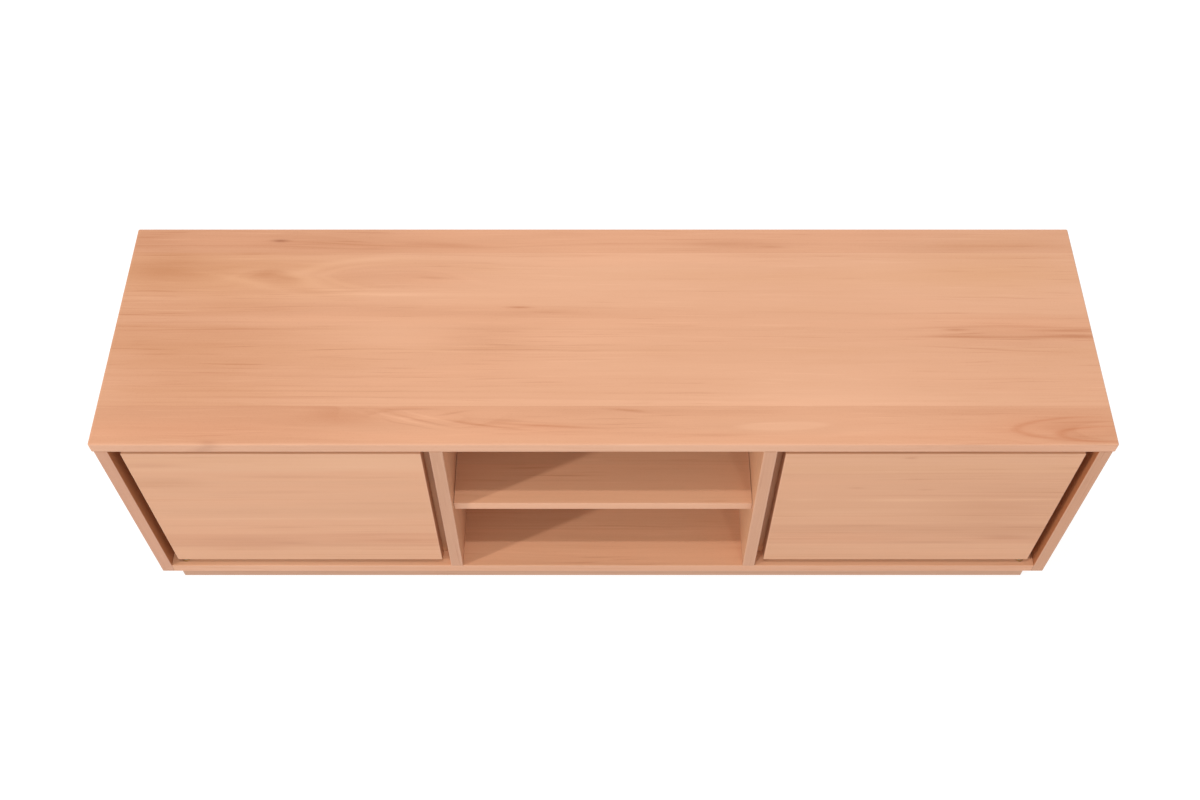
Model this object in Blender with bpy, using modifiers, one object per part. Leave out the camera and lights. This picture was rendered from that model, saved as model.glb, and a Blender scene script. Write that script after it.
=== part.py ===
"""Low beech TV cabinet with two shadow-gap doors on pivot pins and an open centre bay.

Metres, +Z up. X runs along the cabinet, Y from its front to its back, and the origin is on the floor under
the middle of the top. Left and right are the viewer's, facing the doors.
"""

import math

import bmesh
import bpy
from mathutils import Vector

# Outside of the cabinet
CABINET_WIDTH = 1.650
CABINET_DEPTH = 0.450
CABINET_HEIGHT = 0.500
BOARD = 0.022
TOP_OVERHANG = 0.004
TOP_ARRIS = 0.003
CARCASS_ARRIS = 0.0015

# Housed joints of the carcass
TONGUE_THICKNESS = 0.010
TONGUE_LENGTH = 0.008
TONGUE_STOP = 0.025
JOINT_GAP = 0.0003

# Back boards in their rebate, and the cable cut-outs
BACK_THICKNESS = 0.008
REBATE_DEPTH = 0.008
CABLE_SLOT_WIDTH = 0.090
CABLE_SLOT_HEIGHT = 0.044
CABLE_SLOT_CORNER = 0.018

# Plinth
PLINTH_HEIGHT = 0.050
PLINTH_RAIL = 0.018
PLINTH_FRONT_SETBACK = 0.016
PLINTH_BACK_SETBACK = 0.026
PLINTH_END_SETBACK = 0.026
PLINTH_HOUSING = 0.005
PLINTH_ARRIS = 0.001

# Shelves and their pins
SHELF_THICKNESS = 0.020
SHELF_END_GAP = 0.0008
CENTER_SHELF_SETBACK = 0.013
INNER_SHELF_CLEARANCE = 0.011
INNER_SHELF_DROP = 0.032
SHELF_PIN_RADIUS = 0.0025
SHELF_PIN_SEAT = 0.008
SHELF_PIN_REACH = 0.009
SHELF_PIN_DOME = 0.0012
SHELF_PIN_CHAMFER = 0.0005
SHELF_PIN_INSET = 0.050

# Doors
DOOR_THICKNESS = 0.022
DOOR_GAP = 0.015
DOOR_RECESS = 0.005
DOOR_ARRIS = 0.002

# Stop battens behind the doors' upright edges
STOP_GAP = 0.004
BATTEN_THICKNESS = 0.018
BATTEN_ARRIS = 0.001

# Pivots: a turned pin in the door, and a flanged bush let into the board
PIVOT_INSET = 0.010
PIN_SHANK_RADIUS = 0.004
PIN_SHANK_LENGTH = 0.020
PIN_COLLAR_RADIUS = 0.005
PIN_SPIGOT_RADIUS = 0.003
PIN_SPIGOT_LENGTH = 0.011
PIN_CHAMFER = 0.0006
UPPER_COLLAR_CLEARANCE = 0.0008
BUSH_RADIUS = 0.005
BUSH_LENGTH = 0.013
BUSH_FLANGE_RADIUS = 0.0075
BUSH_FLANGE_THICKNESS = 0.0015

# Magnetic catch and bumpers, in the batten's lap behind the door
MAGNET_RADIUS = 0.0045
MAGNET_SEAT = 0.010
MAGNET_CHAMFER = 0.0006
STRIKE_RADIUS = 0.006
STRIKE_THICKNESS = 0.0012
STRIKE_MARGIN = 0.003
BUMPER_RADIUS = 0.004
BUMPER_INSET = 0.045

# Facets
TOP_ARRIS_SEGMENTS = 3
ARRIS_SEGMENTS = 2
SLOT_SEGMENTS = 5
TURNED_STEPS = 24
PEG_STEPS = 16
DOME_TURNS = (0, 30, 60, 90)
CUT_PAST = 0.010

# Finishes: sRGB colour, roughness, metallic
BEECH_TOP = ((0.89, 0.66, 0.52), 0.42, 0.0)
BEECH_EDGE = ((0.85, 0.67, 0.56), 0.48, 0.0)
BEECH_DOOR = ((0.86, 0.66, 0.53), 0.44, 0.0)
BEECH_INSIDE = ((0.76, 0.55, 0.43), 0.50, 0.0)
BEECH_PLY = ((0.80, 0.63, 0.50), 0.58, 0.0)
BRASS = ((0.78, 0.62, 0.36), 0.32, 1.0)
STEEL = ((0.66, 0.66, 0.67), 0.30, 1.0)
RUBBER = ((0.20, 0.19, 0.18), 0.75, 0.0)

# Levels and planes that the pieces share
FRONT = -CABINET_DEPTH / 2
BACK = CABINET_DEPTH / 2
BACK_SHOULDER = BACK - BACK_THICKNESS
FLOOR_UNDER = PLINTH_HEIGHT
FLOOR_TOP = PLINTH_HEIGHT + BOARD
TOP_UNDER = CABINET_HEIGHT - BOARD
SIDE_OUT = CABINET_WIDTH / 2 - TOP_OVERHANG
SIDE_IN = SIDE_OUT - BOARD
BAY_WIDTH = (2 * SIDE_IN - 2 * BOARD) / 3
DIVIDER_IN = BAY_WIDTH / 2
DIVIDER_OUT = DIVIDER_IN + BOARD
DIVIDER_MIDDLE = (DIVIDER_IN + DIVIDER_OUT) / 2
SIDE_MIDDLE = (SIDE_IN + SIDE_OUT) / 2
TONGUE_FRONT = FRONT + TONGUE_STOP
TONGUE_BACK = BACK_SHOULDER - TONGUE_STOP
CENTER_SHELF_UNDER = (FLOOR_TOP + TOP_UNDER - SHELF_THICKNESS) / 2
INNER_SHELF_UNDER = CENTER_SHELF_UNDER - INNER_SHELF_DROP
DOOR_FRONT = FRONT + DOOR_RECESS
DOOR_BACK = DOOR_FRONT + DOOR_THICKNESS
DOOR_BOTTOM = FLOOR_TOP + DOOR_GAP
DOOR_TOP = TOP_UNDER - DOOR_GAP
DOOR_HINGE_EDGE = SIDE_IN - DOOR_GAP
DOOR_FREE_EDGE = DIVIDER_OUT + DOOR_GAP
PIVOT_X = DOOR_HINGE_EDGE - PIVOT_INSET
PIVOT_Y = DOOR_FRONT + DOOR_THICKNESS / 2
BATTEN_FRONT = DOOR_BACK + STOP_GAP
BATTEN_BACK = BATTEN_FRONT + BATTEN_THICKNESS
BATTEN_LAP = 2 * (STRIKE_RADIUS + STRIKE_MARGIN)
CENTER_SHELF_FRONT = FRONT + CENTER_SHELF_SETBACK
INNER_SHELF_FRONT = BATTEN_BACK + INNER_SHELF_CLEARANCE
LAP_MIDDLE = DOOR_FREE_EDGE + BATTEN_LAP / 2
CATCH_HEIGHT = (DOOR_BOTTOM + DOOR_TOP) / 2

SIDE_NAMES = (("left", "right"), ("front", "back"), ("bottom", "top"))
UPPER_EDGES = ("front top", "back top", "left top", "right top")
LOWER_EDGES = ("front bottom", "back bottom", "left bottom", "right bottom")
UPRIGHT_EDGES = ("front left", "front right", "back left", "back right")
HANDS = (("left", -1), ("right", 1))
PARTS = "tv_cabinet"
CUTTERS = "cutters"


def clear_scene():
    for obj in list(bpy.data.objects):
        bpy.data.objects.remove(obj)


def collection_named(name):
    collection = bpy.data.collections.get(name)
    if collection is None:
        collection = bpy.data.collections.new(name)
        bpy.context.scene.collection.children.link(collection)
    return collection


def linear(value):
    """One sRGB channel as the linear value that a shader takes."""
    return value / 12.92 if value <= 0.04045 else ((value + 0.055) / 1.055) ** 2.4


def give_finish(obj, finish):
    colour, roughness, metallic = finish
    material = bpy.data.materials.new(obj.name + "_finish")
    material.use_nodes = True
    shader = material.node_tree.nodes["Principled BSDF"]
    shader.inputs["Base Color"].default_value = (*map(linear, colour), 1.0)
    shader.inputs["Roughness"].default_value = roughness
    shader.inputs["Metallic"].default_value = metallic
    obj.data.materials.append(material)


def place(name, mesh, centre, collection, pivot=None):
    """A new object at a point of the cabinet, on a pivot empty where it turns with a door."""
    obj = bpy.data.objects.new(name, mesh)
    collection_named(collection).objects.link(obj)
    obj.location = Vector(centre)
    if pivot is not None:
        obj.parent = pivot
        obj.location -= pivot.location
    return obj


def side_of(face):
    axis = max(range(3), key=lambda i: abs(face.normal[i]))
    return SIDE_NAMES[axis][face.normal[axis] > 0]


def arrises(radius, *edges):
    """The rounding radius of each named edge, such as "front top"."""
    return {frozenset(edge.split()): radius for edge in edges}


def box_mesh(name, size, rounded):
    """A box about its own middle, its edges weighted by their share of the largest rounding."""
    bm = bmesh.new()
    bmesh.ops.create_cube(bm, size=1.0)
    bmesh.ops.scale(bm, vec=size, verts=bm.verts)
    bm.normal_update()
    weight = bm.edges.layers.float.new("bevel_weight_edge")
    for edge in bm.edges:
        sides = frozenset(side_of(face) for face in edge.link_faces)
        if sides in rounded:
            edge[weight] = rounded[sides] / max(rounded.values())
    mesh = bpy.data.meshes.new(name)
    bm.to_mesh(mesh)
    bm.free()
    return mesh


def box(name, low, high, collection, rounded, segments, pivot):
    """A box between two corners of the cabinet's space, with some of its edges rounded."""
    low, high = Vector(low), Vector(high)
    obj = place(name, box_mesh(name, high - low, rounded), (low + high) / 2, collection, pivot)
    if rounded:
        bevel = obj.modifiers.new("arris", "BEVEL")
        bevel.limit_method = "WEIGHT"
        bevel.width = max(rounded.values())
        bevel.segments = segments
    return obj


def board(name, low, high, finish, rounded=None, segments=ARRIS_SEGMENTS, pivot=None):
    obj = box(name, low, high, PARTS, rounded or {}, segments, pivot)
    give_finish(obj, finish)
    return obj


def hide_tool(obj):
    obj.hide_render = True
    obj.display_type = "WIRE"
    return obj


def block(name, low, high, rounded=None):
    """A hidden box that is cut out of a piece or joined to it."""
    return hide_tool(box(name, low, high, CUTTERS, rounded or {}, SLOT_SEGMENTS, None))


def rod(name, centre, axis, radius, length, steps, pivot=None):
    """A hidden round rod that is cut out of a piece."""
    bm = bmesh.new()
    bmesh.ops.create_cone(
        bm, cap_ends=True, segments=steps, radius1=radius, radius2=radius, depth=length
    )
    mesh = bpy.data.meshes.new(name)
    bm.to_mesh(mesh)
    bm.free()
    obj = place(name, mesh, centre, CUTTERS, pivot)
    obj.rotation_euler = Vector(axis).to_track_quat("Z", "Y").to_euler()
    return hide_tool(obj)


def combine(obj, tool, operation):
    modifier = obj.modifiers.new(tool.name, "BOOLEAN")
    modifier.operation = operation
    modifier.object = tool


def cut(obj, tool):
    combine(obj, tool, "DIFFERENCE")


def join(obj, tool):
    combine(obj, tool, "UNION")


def turned_mesh(name, profile, closed):
    """Radius and height points, down the outer side from the top, as the profile of a turned shape."""
    mesh = bpy.data.meshes.new(name)
    edges = [(i, i + 1) for i in range(len(profile) - 1)]
    if closed:
        edges.append((len(profile) - 1, 0))
    mesh.from_pydata([(radius, 0.0, height) for radius, height in profile], edges, [])
    return mesh


def spin(obj, steps):
    screw = obj.modifiers.new("turned", "SCREW")
    screw.axis = "Z"
    screw.angle = 2 * math.pi
    screw.steps = steps
    screw.render_steps = steps
    screw.use_merge_vertices = True
    screw.merge_threshold = 0.00001
    screw.use_smooth_shade = True


def turned(name, profile, foot, axis, finish, steps=TURNED_STEPS, closed=False, pivot=None):
    """A turned piece whose heights are measured from its foot, along its axis."""
    obj = place(name, turned_mesh(name, profile, closed), foot, PARTS, pivot)
    obj.rotation_euler = Vector(axis).to_track_quat("Z", "Y").to_euler()
    spin(obj, steps)
    give_finish(obj, finish)
    return obj


def turned_tool(name, profile, foot, axis, steps=TURNED_STEPS):
    obj = place(name, turned_mesh(name, profile, False), foot, CUTTERS)
    obj.rotation_euler = Vector(axis).to_track_quat("Z", "Y").to_euler()
    spin(obj, steps)
    return hide_tool(obj)


def groove(obj, name, low, high):
    """Cuts the housing of a tongue that lies between two corners, with the joint gap round it."""
    gap = Vector((JOINT_GAP,) * 3)
    cut(obj, block(obj.name + "_" + name, Vector(low) - gap, Vector(high) + gap))


def tongue(obj, name, low, high):
    join(obj, block(obj.name + "_" + name, low, high))


def upper_tongue(x):
    """Corners of the stopped tongue that stands up from an upright at x into the top."""
    low = (x - TONGUE_THICKNESS / 2, TONGUE_FRONT, TOP_UNDER - TONGUE_LENGTH)
    high = (x + TONGUE_THICKNESS / 2, TONGUE_BACK, TOP_UNDER + TONGUE_LENGTH)
    return low, high


def lower_tongue(x):
    """Corners of the stopped tongue that a divider at x sets down into the bottom board."""
    low = (x - TONGUE_THICKNESS / 2, TONGUE_FRONT, FLOOR_TOP - TONGUE_LENGTH)
    high = (x + TONGUE_THICKNESS / 2, TONGUE_BACK, FLOOR_TOP + TONGUE_LENGTH)
    return low, high


def end_tongue(hand):
    """Corners of the stopped tongue at one end of the bottom board, housed in the side panel."""
    middle = FLOOR_UNDER + BOARD / 2
    ends = sorted((hand * (SIDE_IN - TONGUE_LENGTH), hand * (SIDE_IN + TONGUE_LENGTH)))
    low = (ends[0], TONGUE_FRONT, middle - TONGUE_THICKNESS / 2)
    high = (ends[1], TONGUE_BACK, middle + TONGUE_THICKNESS / 2)
    return low, high


def across(hand, inner, outer, y, z):
    """Corners of a box on one hand of the cabinet, given its inner and outer distance from the middle."""
    ends = sorted((hand * inner, hand * outer))
    return (ends[0], y[0], z[0]), (ends[1], y[1], z[1])


def make_top():
    top = board(
        "top_panel",
        (-CABINET_WIDTH / 2, FRONT, TOP_UNDER),
        (CABINET_WIDTH / 2, BACK, CABINET_HEIGHT),
        BEECH_TOP,
        arrises(TOP_ARRIS, *UPPER_EDGES, *UPRIGHT_EDGES) | arrises(CARCASS_ARRIS, *LOWER_EDGES),
        TOP_ARRIS_SEGMENTS,
    )
    for name, hand in HANDS:
        groove(top, name + "_side_housing", *upper_tongue(hand * SIDE_MIDDLE))
        groove(top, name + "_divider_housing", *upper_tongue(hand * DIVIDER_MIDDLE))
        cut_bush_hole(top, name, hand, TOP_UNDER, up=1)
    rebate_end = SIDE_IN + REBATE_DEPTH
    rebate = block(
        "top_back_rebate",
        (-rebate_end, BACK_SHOULDER, TOP_UNDER - CUT_PAST),
        (rebate_end, BACK + CUT_PAST, TOP_UNDER + REBATE_DEPTH),
    )
    cut(top, rebate)


def make_bottom():
    bottom = board(
        "bottom_panel",
        (-SIDE_IN + JOINT_GAP, FRONT, FLOOR_UNDER),
        (SIDE_IN - JOINT_GAP, BACK, FLOOR_TOP),
        BEECH_EDGE,
        arrises(CARCASS_ARRIS, "front top", "front bottom"),
    )
    for name, hand in HANDS:
        tongue(bottom, name + "_tongue", *end_tongue(hand))
        groove(bottom, name + "_divider_housing", *lower_tongue(hand * DIVIDER_MIDDLE))
        cut_bush_hole(bottom, name, hand, FLOOR_TOP, up=-1)
    rebate = block(
        "bottom_back_rebate",
        (-SIDE_IN - TONGUE_LENGTH - CUT_PAST, BACK_SHOULDER, FLOOR_TOP - REBATE_DEPTH),
        (SIDE_IN + TONGUE_LENGTH + CUT_PAST, BACK + CUT_PAST, FLOOR_TOP + CUT_PAST),
    )
    cut(bottom, rebate)


def make_side(name, hand):
    low, high = across(hand, SIDE_IN, SIDE_OUT, (FRONT, BACK), (FLOOR_UNDER, TOP_UNDER - JOINT_GAP))
    shown_edges = ("front left", "front right", "front bottom", "back " + name, "bottom " + name)
    side = board(name + "_side_panel", low, high, BEECH_EDGE, arrises(CARCASS_ARRIS, *shown_edges))
    tongue(side, "top_tongue", *upper_tongue(hand * SIDE_MIDDLE))
    groove(side, "bottom_housing", *end_tongue(hand))
    rebate = block(
        name + "_side_rebate",
        *across(
            hand,
            SIDE_IN - CUT_PAST,
            SIDE_IN + REBATE_DEPTH,
            (BACK_SHOULDER, BACK + CUT_PAST),
            (FLOOR_TOP - REBATE_DEPTH, TOP_UNDER + CUT_PAST),
        ),
    )
    cut(side, rebate)
    bore_shelf_pins(side, hand * SIDE_IN, hand, INNER_SHELF_UNDER, INNER_SHELF_FRONT)


def make_divider(name, hand):
    z = (FLOOR_TOP + JOINT_GAP, TOP_UNDER - JOINT_GAP)
    low, high = across(hand, DIVIDER_IN, DIVIDER_OUT, (FRONT, BACK_SHOULDER), z)
    shown_edges = arrises(CARCASS_ARRIS, "front left", "front right")
    divider = board(name + "_divider", low, high, BEECH_EDGE, shown_edges)
    tongue(divider, "top_tongue", *upper_tongue(hand * DIVIDER_MIDDLE))
    tongue(divider, "bottom_tongue", *lower_tongue(hand * DIVIDER_MIDDLE))
    bore_shelf_pins(divider, hand * DIVIDER_IN, hand, CENTER_SHELF_UNDER, CENTER_SHELF_FRONT)
    bore_shelf_pins(divider, hand * DIVIDER_OUT, -hand, INNER_SHELF_UNDER, INNER_SHELF_FRONT)


def pin_rows(shelf_front):
    """Front and back places of a shelf's pins."""
    return (shelf_front + SHELF_PIN_INSET, BACK_SHOULDER - SHELF_PIN_INSET)


def pin_height(shelf_under):
    return shelf_under - JOINT_GAP - SHELF_PIN_RADIUS


def bore_shelf_pins(obj, face, into, shelf_under, shelf_front):
    """Blind holes for a shelf's pins in the face of an upright at x; into is the way they are bored."""
    depth = SHELF_PIN_SEAT + JOINT_GAP
    for y in pin_rows(shelf_front):
        centre = (face + into * (depth - CUT_PAST) / 2, y, pin_height(shelf_under))
        hole = rod(
            f"{obj.name}_pin_hole_{len(obj.modifiers)}",
            centre,
            (into, 0, 0),
            SHELF_PIN_RADIUS + JOINT_GAP,
            depth + CUT_PAST,
            PEG_STEPS,
        )
        cut(obj, hole)


def dome(radius, rim, rise):
    """Profile of a domed end, from its crown down to its rim."""
    turns = [math.radians(turn) for turn in DOME_TURNS]
    return [(radius * math.sin(turn), rim + rise * math.cos(turn)) for turn in turns]


def shelf_pin_profile():
    """A round peg with a domed nose, from the nose down to its chamfered foot."""
    length = SHELF_PIN_SEAT + SHELF_PIN_REACH
    nose = dome(SHELF_PIN_RADIUS, length - SHELF_PIN_DOME, SHELF_PIN_DOME)
    foot = SHELF_PIN_RADIUS - SHELF_PIN_CHAMFER
    return nose + [(SHELF_PIN_RADIUS, SHELF_PIN_CHAMFER), (foot, 0.0), (0.0, 0.0)]


def make_shelf(name, low_x, high_x, shelf_front, shelf_under):
    """A loose shelf between two uprights, resting on four pins."""
    board(
        name + "_shelf",
        (low_x + SHELF_END_GAP, shelf_front, shelf_under),
        (high_x - SHELF_END_GAP, BACK_SHOULDER - JOINT_GAP, shelf_under + SHELF_THICKNESS),
        BEECH_INSIDE,
        arrises(CARCASS_ARRIS, "front top", "front bottom"),
    )
    number = 0
    for face, out in ((low_x, 1), (high_x, -1)):
        for y in pin_rows(shelf_front):
            number += 1
            turned(
                f"{name}_shelf_pin_{number}",
                shelf_pin_profile(),
                (face - out * SHELF_PIN_SEAT, y, pin_height(shelf_under)),
                (out, 0, 0),
                STEEL,
                steps=PEG_STEPS,
            )


def make_back(name, low_x, high_x):
    low = (low_x, BACK_SHOULDER + JOINT_GAP, FLOOR_TOP - REBATE_DEPTH + JOINT_GAP)
    high = (high_x, BACK, TOP_UNDER + REBATE_DEPTH - JOINT_GAP)
    return board(name + "_back_panel", low, high, BEECH_PLY)


def cut_cable_slot(back, name, middle):
    """A rounded cable slot through the centre back, at one niche's mid-height."""
    half_width, half_height = CABLE_SLOT_WIDTH / 2, CABLE_SLOT_HEIGHT / 2
    slot = block(
        name + "_cable_slot",
        (-half_width, BACK_SHOULDER - CUT_PAST, middle - half_height),
        (half_width, BACK + CUT_PAST, middle + half_height),
        arrises(CABLE_SLOT_CORNER, "left bottom", "right bottom", "left top", "right top"),
    )
    cut(back, slot)


def make_backs():
    joint = DIVIDER_MIDDLE
    outer = SIDE_IN + REBATE_DEPTH - JOINT_GAP
    make_back("left", -outer, -joint - JOINT_GAP / 2)
    make_back("right", joint + JOINT_GAP / 2, outer)
    center = make_back("center", -joint + JOINT_GAP / 2, joint - JOINT_GAP / 2)
    cut_cable_slot(center, "upper", (CENTER_SHELF_UNDER + SHELF_THICKNESS + TOP_UNDER) / 2)
    cut_cable_slot(center, "lower", (FLOOR_TOP + CENTER_SHELF_UNDER) / 2)


def make_battens(name, hand):
    """The strips behind a door's upright edges; the inner one holds the catch magnet and the bumpers."""
    y = (BATTEN_FRONT, BATTEN_BACK)
    z = (FLOOR_TOP + JOINT_GAP, TOP_UNDER - JOINT_GAP)
    rounded = arrises(BATTEN_ARRIS, "front left", "front right")
    low, high = across(hand, DOOR_HINGE_EDGE - BATTEN_LAP, SIDE_IN - JOINT_GAP, y, z)
    board(name + "_outer_batten", low, high, BEECH_INSIDE, rounded)
    low, high = across(hand, DIVIDER_OUT + JOINT_GAP, DOOR_FREE_EDGE + BATTEN_LAP, y, z)
    inner = board(name + "_inner_batten", low, high, BEECH_INSIDE, rounded)
    make_catch_magnet(name, hand, inner)
    for level, height in (("lower", DOOR_BOTTOM + BUMPER_INSET), ("upper", DOOR_TOP - BUMPER_INSET)):
        make_bumper(f"{name}_{level}_bumper", hand, height)


def make_catch_magnet(name, hand, batten):
    """A round magnet let into the batten, standing out to the closed door's back."""
    depth = MAGNET_SEAT + JOINT_GAP
    hole = rod(
        name + "_magnet_hole",
        (hand * LAP_MIDDLE, BATTEN_FRONT + (depth - CUT_PAST) / 2, CATCH_HEIGHT),
        (0, 1, 0),
        MAGNET_RADIUS + JOINT_GAP,
        depth + CUT_PAST,
        TURNED_STEPS,
    )
    cut(batten, hole)
    length = MAGNET_SEAT + STOP_GAP - JOINT_GAP
    profile = [
        (0.0, length),
        (MAGNET_RADIUS - MAGNET_CHAMFER, length),
        (MAGNET_RADIUS, length - MAGNET_CHAMFER),
        (MAGNET_RADIUS, 0.0),
        (0.0, 0.0),
    ]
    foot = (hand * LAP_MIDDLE, BATTEN_FRONT + MAGNET_SEAT, CATCH_HEIGHT)
    turned(name + "_catch_magnet", profile, foot, (0, -1, 0), STEEL)


def make_bumper(name, hand, height):
    """A soft button on the batten's face that the closed door rests on."""
    length = STOP_GAP - 2 * JOINT_GAP
    crown = dome(BUMPER_RADIUS, length / 2, length / 2)
    foot = (hand * LAP_MIDDLE, BATTEN_FRONT - JOINT_GAP, height)
    profile = crown + [(BUMPER_RADIUS, 0.0), (0.0, 0.0)]
    turned(name, profile, foot, (0, -1, 0), RUBBER, steps=PEG_STEPS)


def bush_profile():
    """A sleeve with a flange at the board's face; heights run from the face into the board."""
    bore = PIN_SPIGOT_RADIUS + JOINT_GAP
    return [
        (BUSH_RADIUS, BUSH_LENGTH),
        (BUSH_RADIUS, BUSH_FLANGE_THICKNESS),
        (BUSH_FLANGE_RADIUS, BUSH_FLANGE_THICKNESS),
        (BUSH_FLANGE_RADIUS, 0.0),
        (bore, 0.0),
        (bore, BUSH_LENGTH),
    ]


def cut_bush_hole(obj, name, hand, face, up):
    """The stepped hole of a pivot bush in the top's underside or the bottom board's upper face."""
    profile = [
        (0.0, BUSH_LENGTH + JOINT_GAP),
        (BUSH_RADIUS + JOINT_GAP, BUSH_LENGTH + JOINT_GAP),
        (BUSH_RADIUS + JOINT_GAP, BUSH_FLANGE_THICKNESS + JOINT_GAP),
        (BUSH_FLANGE_RADIUS + JOINT_GAP, BUSH_FLANGE_THICKNESS + JOINT_GAP),
        (BUSH_FLANGE_RADIUS + JOINT_GAP, -CUT_PAST),
        (0.0, -CUT_PAST),
    ]
    foot = (hand * PIVOT_X, PIVOT_Y, face)
    cut(obj, turned_tool(f"{obj.name}_{name}_bush_hole", profile, foot, (0, 0, up)))


def make_bushes(name, hand):
    for level, face, up in (("upper", TOP_UNDER, 1), ("lower", FLOOR_TOP, -1)):
        foot = (hand * PIVOT_X, PIVOT_Y, face)
        bush = f"{name}_{level}_pivot_bush"
        turned(bush, bush_profile(), foot, (0, 0, up), BRASS, closed=True)


def pivot_pin_profile(collar):
    """A pin from its spigot's tip, past the collar that spans the door's gap, to the foot of its shank."""
    shank_top = PIN_SHANK_LENGTH
    collar_top = shank_top + collar
    tip = collar_top + PIN_SPIGOT_LENGTH
    return [
        (0.0, tip),
        (PIN_SPIGOT_RADIUS - PIN_CHAMFER, tip),
        (PIN_SPIGOT_RADIUS, tip - PIN_CHAMFER),
        (PIN_SPIGOT_RADIUS, collar_top),
        (PIN_COLLAR_RADIUS - PIN_CHAMFER, collar_top),
        (PIN_COLLAR_RADIUS, collar_top - PIN_CHAMFER),
        (PIN_COLLAR_RADIUS, shank_top),
        (PIN_SHANK_RADIUS, shank_top),
        (PIN_SHANK_RADIUS, PIN_CHAMFER),
        (PIN_SHANK_RADIUS - PIN_CHAMFER, 0.0),
        (0.0, 0.0),
    ]


def make_pivot_pins(name, hand, door, pivot):
    """The door's upper and lower pins. The door stands on the lower collar; the upper one runs clear."""
    levels = (
        ("upper", DOOR_TOP, 1, DOOR_GAP - JOINT_GAP - UPPER_COLLAR_CLEARANCE),
        ("lower", DOOR_BOTTOM, -1, DOOR_GAP - 2 * JOINT_GAP),
    )
    for level, edge, up, collar in levels:
        depth = PIN_SHANK_LENGTH + JOINT_GAP
        hole = rod(
            f"{name}_{level}_pin_bore",
            (hand * PIVOT_X, PIVOT_Y, edge - up * (depth - CUT_PAST) / 2),
            (0, 0, up),
            PIN_SHANK_RADIUS + JOINT_GAP,
            depth + CUT_PAST,
            TURNED_STEPS,
            pivot,
        )
        cut(door, hole)
        foot = (hand * PIVOT_X, PIVOT_Y, edge + up * (JOINT_GAP - PIN_SHANK_LENGTH))
        turned(
            f"{name}_{level}_pivot_pin",
            pivot_pin_profile(collar),
            foot,
            (0, 0, up),
            STEEL,
            pivot=pivot,
        )


def make_strike(name, hand, door, pivot):
    """A round steel plate let flush into the door's back, opposite the magnet."""
    depth = STRIKE_THICKNESS + JOINT_GAP
    recess = rod(
        name + "_strike_recess",
        (hand * LAP_MIDDLE, DOOR_BACK - (depth - CUT_PAST) / 2, CATCH_HEIGHT),
        (0, 1, 0),
        STRIKE_RADIUS + JOINT_GAP,
        depth + CUT_PAST,
        TURNED_STEPS,
        pivot,
    )
    cut(door, recess)
    profile = [
        (0.0, STRIKE_THICKNESS),
        (STRIKE_RADIUS, STRIKE_THICKNESS),
        (STRIKE_RADIUS, 0.0),
        (0.0, 0.0),
    ]
    foot = (hand * LAP_MIDDLE, DOOR_BACK - STRIKE_THICKNESS, CATCH_HEIGHT)
    turned(name + "_strike_plate", profile, foot, (0, 1, 0), STEEL, pivot=pivot)


def make_door(name, hand):
    """A slab door about its pivot axis, with its two pins and its strike plate."""
    pivot = bpy.data.objects.new(name + "_door_pivot", None)
    collection_named(PARTS).objects.link(pivot)
    pivot.location = (hand * PIVOT_X, PIVOT_Y, DOOR_BOTTOM)
    z = (DOOR_BOTTOM, DOOR_TOP)
    low, high = across(hand, DOOR_FREE_EDGE, DOOR_HINGE_EDGE, (DOOR_FRONT, DOOR_BACK), z)
    every_edge = arrises(DOOR_ARRIS, *UPPER_EDGES, *LOWER_EDGES, *UPRIGHT_EDGES)
    door = board(name + "_door_panel", low, high, BEECH_DOOR, every_edge, pivot=pivot)
    make_pivot_pins(name, hand, door, pivot)
    make_strike(name, hand, door, pivot)


def make_plinth():
    """A frame of rails under the bottom board, with two bearers in line with the dividers."""
    end = SIDE_OUT - PLINTH_END_SETBACK
    front = FRONT + PLINTH_FRONT_SETBACK
    back = BACK - PLINTH_BACK_SETBACK
    top = PLINTH_HEIGHT - JOINT_GAP
    front_rail = board(
        "plinth_front_rail",
        (-end, front, 0.0),
        (end, front + PLINTH_RAIL, top),
        BEECH_EDGE,
        arrises(PLINTH_ARRIS, "front left", "front right", "front bottom"),
    )
    back_rail = board(
        "plinth_back_rail",
        (-end, back - PLINTH_RAIL, 0.0),
        (end, back, top),
        BEECH_EDGE,
        arrises(PLINTH_ARRIS, "back left", "back right", "back bottom"),
    )
    y = (front + PLINTH_RAIL - PLINTH_HOUSING, back - PLINTH_RAIL + PLINTH_HOUSING)
    half = PLINTH_RAIL / 2
    for name, hand in HANDS:
        rails = (
            (f"plinth_{name}_rail", end - PLINTH_RAIL, end),
            (f"plinth_{name}_bearer", DIVIDER_MIDDLE - half, DIVIDER_MIDDLE + half),
        )
        for rail, inner, outer in rails:
            low, high = across(hand, inner, outer, y, (0.0, top))
            board(rail, low, high, BEECH_EDGE)
            reach = Vector((0, 0, CUT_PAST))
            for carrier in (front_rail, back_rail):
                groove(carrier, rail + "_housing", Vector(low) - reach, Vector(high) + reach)


def make_cabinet():
    make_top()
    make_bottom()
    make_backs()
    make_plinth()
    make_shelf("center", -DIVIDER_IN, DIVIDER_IN, CENTER_SHELF_FRONT, CENTER_SHELF_UNDER)
    for name, hand in HANDS:
        make_side(name, hand)
        make_divider(name, hand)
        bay = sorted((hand * DIVIDER_OUT, hand * SIDE_IN))
        make_shelf(name, *bay, INNER_SHELF_FRONT, INNER_SHELF_UNDER)
        make_battens(name, hand)
        make_bushes(name, hand)
        make_door(name, hand)


clear_scene()
make_cabinet()
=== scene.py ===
import math
import random

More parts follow.
